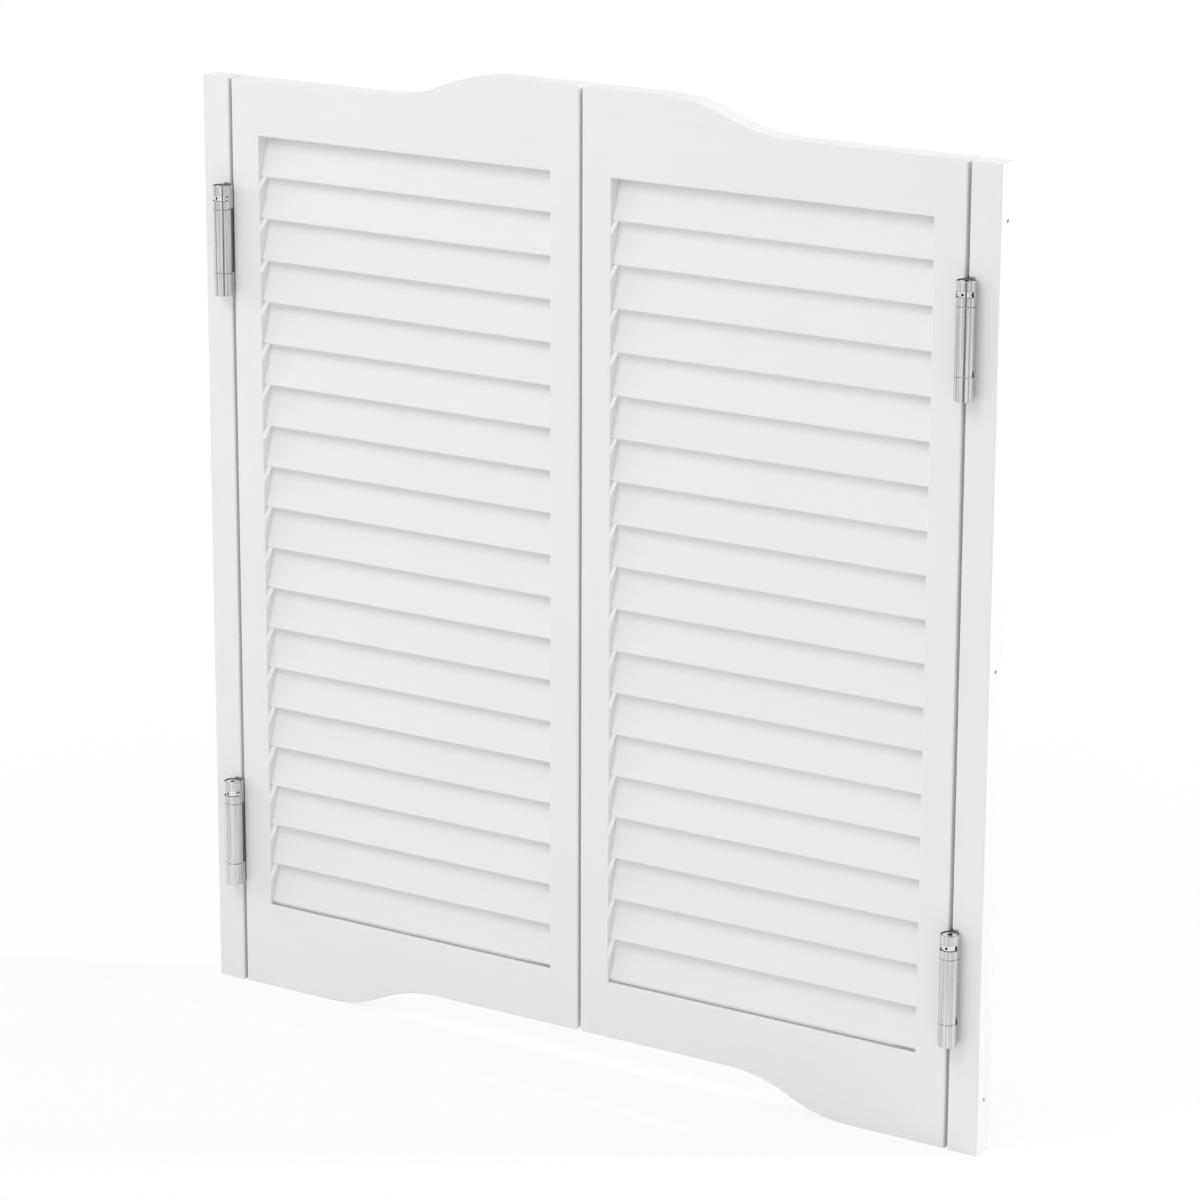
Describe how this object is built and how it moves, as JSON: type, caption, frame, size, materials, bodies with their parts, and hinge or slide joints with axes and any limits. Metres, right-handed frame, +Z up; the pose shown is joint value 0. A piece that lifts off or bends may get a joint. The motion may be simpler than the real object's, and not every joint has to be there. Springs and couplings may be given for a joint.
{
  "type": "cafe swinging doors",
  "caption": "Louvred swinging cafe doors with curved top and bottom edges, hung from mounting strips on double-action spring hinges",
  "frame": {"origin": "midway between the two leaves, at half the doors' thickness, level with the foot of the mounting strips", "axes": "+X to the right across the doorway seen from the front, -Y to the front, where the louvres slope down, +Z up"},
  "size_m": [1.014, 0.0698, 1.1],
  "materials": {
    "white_paint": "satin white paint on softwood",
    "hinge_steel": "satin nickel plate on rolled sheet steel",
    "turned_steel": "bright turned steel",
    "spring_steel": "oiled spring wire",
    "screw_steel": "zinc plate"
  },
  "bodies": {
    "jambs": {"jamb_flange_screws": "screw_steel", "jamb_springs": "spring_steel", "left_lower_jamb_flange": "hinge_steel", "left_mounting_strip": "white_paint", "left_upper_jamb_flange": "hinge_steel", "right_lower_jamb_flange": "hinge_steel", "right_mounting_strip": "white_paint", "right_upper_jamb_flange": "hinge_steel"},
    "left_links": {"left_lower_link": "hinge_steel", "left_spindles": "turned_steel", "left_upper_link": "hinge_steel"},
    "left_leaf": {"left_bottom_rail": "white_paint", "left_door_flange_screws": "screw_steel", "left_door_springs": "spring_steel", "left_hinge_stile": "white_paint", "left_lower_door_flange": "hinge_steel", "left_meeting_stile": "white_paint", "left_slats": "white_paint", "left_top_rail": "white_paint", "left_upper_door_flange": "hinge_steel"},
    "right_links": {"right_lower_link": "hinge_steel", "right_spindles": "turned_steel", "right_upper_link": "hinge_steel"},
    "right_leaf": {"right_bottom_rail": "white_paint", "right_door_flange_screws": "screw_steel", "right_door_springs": "spring_steel", "right_hinge_stile": "white_paint", "right_lower_door_flange": "hinge_steel", "right_meeting_stile": "white_paint", "right_slats": "white_paint", "right_top_rail": "white_paint", "right_upper_door_flange": "hinge_steel"},
    "left_lower_back_collar": {"left_lower_back_collar": "turned_steel", "left_lower_back_stop_pin": "turned_steel"},
    "left_lower_front_collar": {"left_lower_front_collar": "turned_steel", "left_lower_front_stop_pin": "turned_steel"},
    "left_upper_back_collar": {"left_upper_back_collar": "turned_steel", "left_upper_back_stop_pin": "turned_steel"},
    "left_upper_front_collar": {"left_upper_front_collar": "turned_steel", "left_upper_front_stop_pin": "turned_steel"},
    "right_lower_back_collar": {"right_lower_back_collar": "turned_steel", "right_lower_back_stop_pin": "turned_steel"},
    "right_lower_front_collar": {"right_lower_front_collar": "turned_steel", "right_lower_front_stop_pin": "turned_steel"},
    "right_upper_back_collar": {"right_upper_back_collar": "turned_steel", "right_upper_back_stop_pin": "turned_steel"},
    "right_upper_front_collar": {"right_upper_front_collar": "turned_steel", "right_upper_front_stop_pin": "turned_steel"}
  },
  "joints": [
    {"name": "left_forward_swing", "type": "hinge", "parent": "jambs", "child": "left_links", "pos_m": [-0.4745, -0.02455, 0.1225], "axis": [0, 0, 1], "range_deg": [-110, 0], "stiffness_Nm_per_rad": 1.5, "springref_deg": 28.65},
    {"name": "left_backward_swing", "type": "hinge", "parent": "left_links", "child": "left_leaf", "pos_m": [-0.4635, 0.02455, 0.1225], "axis": [0, 0, 1], "range_deg": [0, 110], "stiffness_Nm_per_rad": 1.5, "springref_deg": -28.65},
    {"name": "left_lower_front_tension", "type": "hinge", "parent": "left_links", "child": "left_lower_front_collar", "pos_m": [-0.4745, -0.02455, 0.2475], "axis": [0, 0, 1], "range_deg": [-130, 0], "stiffness_Nm_per_rad": 0.4, "springref_deg": 45.84},
    {"name": "left_lower_back_tension", "type": "hinge", "parent": "left_links", "child": "left_lower_back_collar", "pos_m": [-0.4635, 0.02455, 0.2475], "axis": [0, 0, 1], "range_deg": [-130, 0], "stiffness_Nm_per_rad": 0.4, "springref_deg": 45.84},
    {"name": "left_upper_front_tension", "type": "hinge", "parent": "left_links", "child": "left_upper_front_collar", "pos_m": [-0.4745, -0.02455, 0.947], "axis": [0, 0, 1], "range_deg": [-130, 0], "stiffness_Nm_per_rad": 0.4, "springref_deg": 45.84},
    {"name": "left_upper_back_tension", "type": "hinge", "parent": "left_links", "child": "left_upper_back_collar", "pos_m": [-0.4635, 0.02455, 0.947], "axis": [0, 0, 1], "range_deg": [-130, 0], "stiffness_Nm_per_rad": 0.4, "springref_deg": 45.84},
    {"name": "right_forward_swing", "type": "hinge", "parent": "jambs", "child": "right_links", "pos_m": [0.4745, -0.02455, 0.1225], "axis": [0, 0, 1], "range_deg": [0, 110], "stiffness_Nm_per_rad": 1.5, "springref_deg": -28.65},
    {"name": "right_backward_swing", "type": "hinge", "parent": "right_links", "child": "right_leaf", "pos_m": [0.4635, 0.02455, 0.1225], "axis": [0, 0, 1], "range_deg": [-110, 0], "stiffness_Nm_per_rad": 1.5, "springref_deg": 28.65},
    {"name": "right_lower_front_tension", "type": "hinge", "parent": "right_links", "child": "right_lower_front_collar", "pos_m": [0.4745, -0.02455, 0.2475], "axis": [0, 0, 1], "range_deg": [0, 130], "stiffness_Nm_per_rad": 0.4, "springref_deg": -45.84},
    {"name": "right_lower_back_tension", "type": "hinge", "parent": "right_links", "child": "right_lower_back_collar", "pos_m": [0.4635, 0.02455, 0.2475], "axis": [0, 0, 1], "range_deg": [0, 130], "stiffness_Nm_per_rad": 0.4, "springref_deg": -45.84},
    {"name": "right_upper_front_tension", "type": "hinge", "parent": "right_links", "child": "right_upper_front_collar", "pos_m": [0.4745, -0.02455, 0.947], "axis": [0, 0, 1], "range_deg": [0, 130], "stiffness_Nm_per_rad": 0.4, "springref_deg": -45.84},
    {"name": "right_upper_back_tension", "type": "hinge", "parent": "right_links", "child": "right_upper_back_collar", "pos_m": [0.4635, 0.02455, 0.947], "axis": [0, 0, 1], "range_deg": [0, 130], "stiffness_Nm_per_rad": 0.4, "springref_deg": -45.84}
  ]
}
